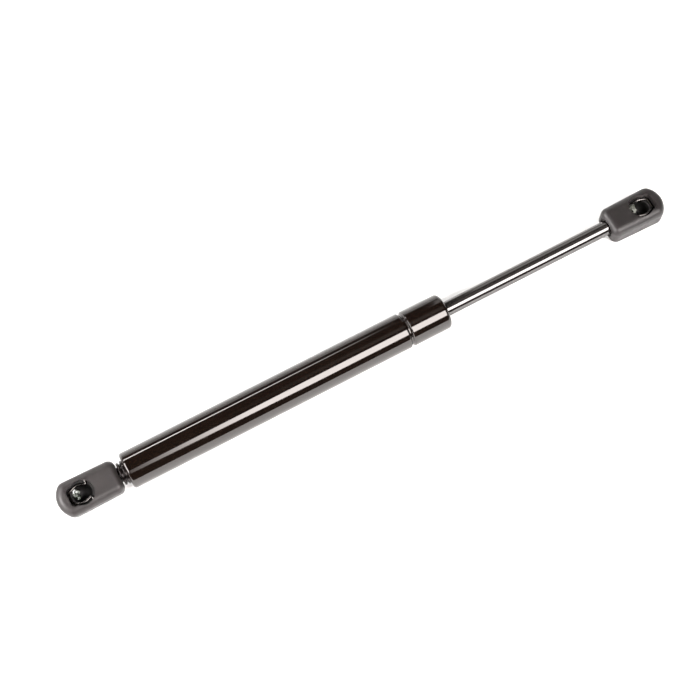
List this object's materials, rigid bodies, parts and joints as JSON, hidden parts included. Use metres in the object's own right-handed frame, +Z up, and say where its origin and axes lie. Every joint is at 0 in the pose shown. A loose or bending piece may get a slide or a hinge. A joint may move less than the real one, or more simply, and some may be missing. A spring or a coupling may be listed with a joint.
{
  "type": "gas strut stay",
  "caption": "Gas strut stay: a sealed black tube that a steel rod slides out of, with a moulded ball socket and a spring retaining clip on each end.",
  "frame": {"origin": "centre of the ball that the tube's own socket takes", "axes": "+X along the strut's axis from the tube's socket to the rod's socket, +Z up from the table that the strut lies on"},
  "size_m": [0.3476, 0.0192, 0.019],
  "materials": {
    "tube_paint": "gloss",
    "rod_steel": "polished",
    "stud_steel": "satin",
    "socket_plastic": "satin",
    "spring_wire": "satin",
    "plain_steel": "satin",
    "seal_rubber": "matte",
    "guide_plastic": "matte",
    "piston_metal": "satin",
    "ring_plastic": "matte"
  },
  "bodies": {
    "cylinder": {"pressure_tube": "tube_paint", "base_plug": "stud_steel", "base_plug_seal": "seal_rubber", "seal_backing_washer": "plain_steel", "rod_seal": "seal_rubber", "guide_bush": "guide_plastic", "guide_seal": "seal_rubber", "wiper_ring": "seal_rubber", "end_washer": "plain_steel", "tube_socket": "socket_plastic"},
    "sliding_ring": {"piston_ring": "ring_plastic"},
    "rod": {"piston_rod": "rod_steel", "piston_stop_washer": "plain_steel", "piston": "piston_metal", "nozzle_disc": "plain_steel", "piston_support_washer": "plain_steel", "rod_socket": "socket_plastic"},
    "tube_clip": {"tube_socket_clip": "spring_wire"},
    "rod_clip": {"rod_socket_clip": "spring_wire"}
  },
  "joints": [
    {"name": "rod_slide", "type": "slide", "parent": "cylinder", "child": "sliding_ring", "axis": [1, 0, 0], "range_m": [-0.095, 0], "stiffness_N_per_m": 316, "springref_m": 0.316},
    {"name": "rod_spin", "type": "hinge", "parent": "sliding_ring", "child": "rod", "pos_m": [0.2, 0, 0], "axis": [1, 0, 0], "continuous": true},
    {"name": "tube_clip_lift", "type": "hinge", "parent": "cylinder", "child": "tube_clip", "pos_m": [0.0037, -0.00084, 0.00378], "axis": [0, 0.9763, 0.2164], "range_deg": [0, 25], "stiffness_Nm_per_rad": 0.05, "springref_deg": -5.73},
    {"name": "rod_clip_lift", "type": "hinge", "parent": "rod", "child": "rod_clip", "pos_m": [0.3179, 0, 0.00387], "axis": [0, -1, 0], "range_deg": [0, 25], "stiffness_Nm_per_rad": 0.05, "springref_deg": -5.73}
  ]
}
